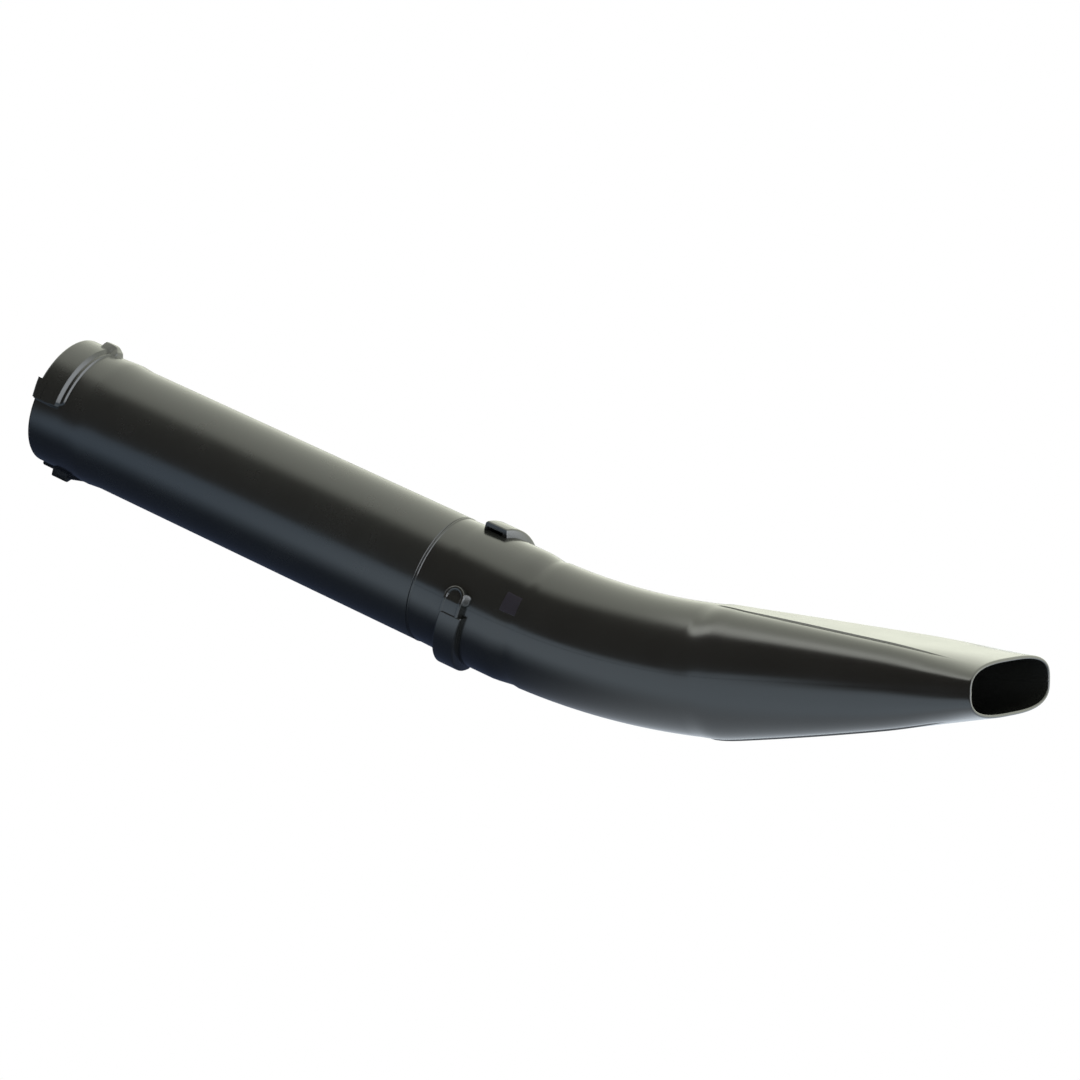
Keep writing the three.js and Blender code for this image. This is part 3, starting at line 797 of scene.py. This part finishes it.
def studio_sky(tree):
    """The light's colour by direction: a softbox behind, a bright strip on its edge and two end panels."""
    link = tree.links.new
    direction = node(tree, "ShaderNodeTexCoord").outputs["Generated"]
    parts = node(tree, "ShaderNodeSeparateXYZ")
    link(direction, parts.inputs["Vector"])
    facing = node(tree, "ShaderNodeVectorMath", operation="DOT_PRODUCT")
    facing.inputs[1].default_value = SOFTBOX_FACING
    link(direction, facing.inputs[0])
    edge = facing.outputs["Value"]
    # The softbox's front edge steps back and then forwards again towards the inlet's side.
    for start, end, shift in SOFTBOX_SLANTS:
        slant = node(tree, "ShaderNodeMath", operation="ADD")
        link(edge, slant.inputs[0])
        link(ramp(tree, parts.outputs["X"], start, end, 0, shift, "LINEAR"), slant.inputs[1])
        edge = slant.outputs["Value"]
    softbox = blend(tree, SOFTBOX_BEHIND, SOFTBOX_ABOVE, ramp(tree, parts.outputs["Z"], *SOFTBOX_RISE))
    sky = blend(tree, STUDIO_DARK, softbox, ramp(tree, edge, *SOFTBOX_EDGE))
    # A brighter strip along the softbox's edge, over the inlet's end.
    strip = node(tree, "ShaderNodeMath", operation="MULTIPLY")
    link(ramp(tree, parts.outputs["X"], *STRIP_ACROSS), strip.inputs[0])
    link(ramp(tree, edge, *STRIP_DEPTH), strip.inputs[1])
    lit_strip = blend(tree, STUDIO_DARK, SOFTBOX_STRIP, ramp(tree, edge, *STRIP_EDGE))
    sky = blend(tree, sky, lit_strip, strip.outputs["Value"])
    sky = blend(tree, sky, OUTLET_END_PANEL, ramp(tree, parts.outputs["X"], *OUTLET_END_EDGE))
    return blend(tree, sky, INLET_END_PANEL, ramp(tree, parts.outputs["X"], *INLET_END_EDGE))


def studio_light():
    """The world: it lights the set with the studio, and the camera sees it as a white backdrop."""
    world = bpy.data.worlds.new("studio")
    bpy.context.scene.world = world
    world.use_nodes = True
    tree = world.node_tree
    link = tree.links.new
    tree.nodes.clear()
    light = node(tree, "ShaderNodeBackground")
    link(studio_sky(tree), light.inputs["Color"])
    backdrop = node(tree, "ShaderNodeBackground", Color=WHITE)
    path = node(tree, "ShaderNodeLightPath")
    choose = node(tree, "ShaderNodeMixShader")
    link(path.outputs["Is Camera Ray"], choose.inputs[0])
    link(light.outputs[0], choose.inputs[1])
    link(backdrop.outputs[0], choose.inputs[2])
    out = node(tree, "ShaderNodeOutputWorld")
    link(choose.outputs[0], out.inputs["Surface"])


FLOOR_HALF_SIZE = 3.0
FLOOR_DROP = 0.0005
# Colours of the floor's glow: painted shade under the set, painted light in front and behind, and painted
# dark far in front and past the inlet's end.
SHADE_INLET = (0.065, 0.085, 0.14)
SHADE_OUTLET = (1.00, 1.10, 1.20)
SHADE_ALONG = (0.36, 0.52)
FRONT_INLET = (0.76, 0.98, 1.25)
FRONT_OUTLET = (1.30, 1.52, 1.72)
FRONT_ALONG = (0.0, 0.4)
FRONT_ACROSS = (-0.045, -0.10)  # the shade under the set gives way to the lit floor in front
FLOOR_BEHIND = (1.5, 1.6, 1.6)
BEHIND_ACROSS = (0.3, 0.7)
FAR_SHIFT = -0.17  # the dark in front starts this much nearer at the outlet's end
FAR_SHIFT_ALONG = (0.30, 0.45)
FAR_DARK_ACROSS = (-0.38, -0.50)
INLET_DARK_ALONG = (-0.02, -0.11)


def floor_glow(tree):
    """The light that the floor gives off, painted by place: painted shade beneath the set, painted light in
    front and behind it, and painted dark far in front.
    """
    link = tree.links.new
    parts = node(tree, "ShaderNodeSeparateXYZ")
    link(node(tree, "ShaderNodeTexCoord").outputs["Object"], parts.inputs["Vector"])
    along, across = parts.outputs["X"], parts.outputs["Y"]
    # Painted shade beneath the set, then painted light in front and behind it, then painted dark far in front
    # and past the inlet's end.
    shade = blend(tree, SHADE_INLET, SHADE_OUTLET, ramp(tree, along, *SHADE_ALONG))
    front = blend(tree, FRONT_INLET, FRONT_OUTLET, ramp(tree, along, *FRONT_ALONG))
    lit = blend(tree, shade, front, ramp(tree, across, *FRONT_ACROSS))
    lit = blend(tree, lit, FLOOR_BEHIND, ramp(tree, across, *BEHIND_ACROSS))
    far = node(tree, "ShaderNodeMath", operation="ADD")
    link(across, far.inputs[0])
    link(ramp(tree, along, *FAR_SHIFT_ALONG, 0, FAR_SHIFT), far.inputs[1])
    lit = blend(tree, lit, STUDIO_DARK, ramp(tree, far.outputs["Value"], *FAR_DARK_ACROSS))
    return blend(tree, lit, STUDIO_DARK, ramp(tree, along, *INLET_DARK_ALONG))


def floor_material():
    """A glowing floor that the camera sees as white from above, and that is clear from below."""
    material = bpy.data.materials.new("floor")
    material.use_nodes = True
    tree = material.node_tree
    link = tree.links.new
    tree.nodes.clear()
    glow = node(tree, "ShaderNodeEmission")
    link(floor_glow(tree), glow.inputs["Color"])
    white = node(tree, "ShaderNodeEmission", Color=WHITE)
    clear = node(tree, "ShaderNodeBsdfTransparent")
    path = node(tree, "ShaderNodeLightPath")
    facing = node(tree, "ShaderNodeNewGeometry")
    seen = node(tree, "ShaderNodeMixShader")
    link(path.outputs["Is Camera Ray"], seen.inputs[0])
    link(glow.outputs[0], seen.inputs[1])
    link(white.outputs[0], seen.inputs[2])
    one_way = node(tree, "ShaderNodeMixShader")
    link(facing.outputs["Backfacing"], one_way.inputs[0])
    link(seen.outputs[0], one_way.inputs[1])
    link(clear.outputs[0], one_way.inputs[2])
    out = node(tree, "ShaderNodeOutputMaterial")
    link(one_way.outputs[0], out.inputs["Surface"])
    return material


def floor():
    """A pale floor that the set lies on, with painted shade beneath it."""
    centre = (cad_low + cad_high) / 2
    height = cad_low.z - FLOOR_DROP
    corners = [(centre.x + x * FLOOR_HALF_SIZE, centre.y + y * FLOOR_HALF_SIZE, height)
               for x, y in ((-1, -1), (1, -1), (1, 1), (-1, 1))]
    mesh = bpy.data.meshes.new("floor")
    mesh.from_pydata(corners, [], [(0, 1, 2, 3)])
    made = bpy.data.objects.new("floor", mesh)
    bpy.context.scene.collection.objects.link(made)
    mesh.materials.append(floor_material())


# ---------------------------------------------------------------- assembly


def place(piece, material, body, slot, *nodes):
    """Gives a piece its material and body, and lets it stand for CAD nodes. Its slot is not used."""
    piece.data.materials.append(material)
    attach(piece, body)
    if nodes:
        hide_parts(*nodes)


camera()
studio_light()
floor()
bpy.context.scene.view_settings.view_transform = "Standard"

tube_plastic = moulded_plastic(
    "tube plastic", TUBE_BLACK, RUBBED, roughness=0.26, roughness_change=0.03, grain=0.008, ripple=0.04)
nozzle_plastic = moulded_plastic(
    "nozzle plastic", NOZZLE_BLACK, RUBBED, roughness=0.19, roughness_change=0.02, grain=0.004, ripple=0.03)
mark_plastic = moulded_plastic(
    "mark plastic", MARK_BLACK, MARK_RUBBED, roughness=0.30, roughness_change=0.03, grain=0.02, ripple=0.02)

place(straight_tube(), tube_plastic, "tube", "tube_plastic", "straight_tube")
for index, half_turn in enumerate((0, HALF_TURN)):
    tab = index_tab(f"index_tab_{index + 1}", half_turn)
    place(tab, tube_plastic, "tube", "tube_plastic")
    tunnel = pocket_tunnel(f"bayonet_pocket_{index + 1}", half_turn)
    place(tunnel, nozzle_plastic, "nozzle", "nozzle_plastic")
    hook = pocket_hook(f"bayonet_hook_{index + 1}", half_turn)
    place(hook, nozzle_plastic, "nozzle", "nozzle_plastic")
place(nozzle_shell("nozzle_upper_skin", 1), nozzle_plastic, "nozzle", "nozzle_plastic", "nozzle_upper_shell")
place(nozzle_shell("nozzle_lower_skin", -1), nozzle_plastic, "nozzle", "nozzle_plastic", "nozzle_lower_shell")
place(collar_mark("collar_mark"), mark_plastic, "nozzle", "nozzle_plastic")
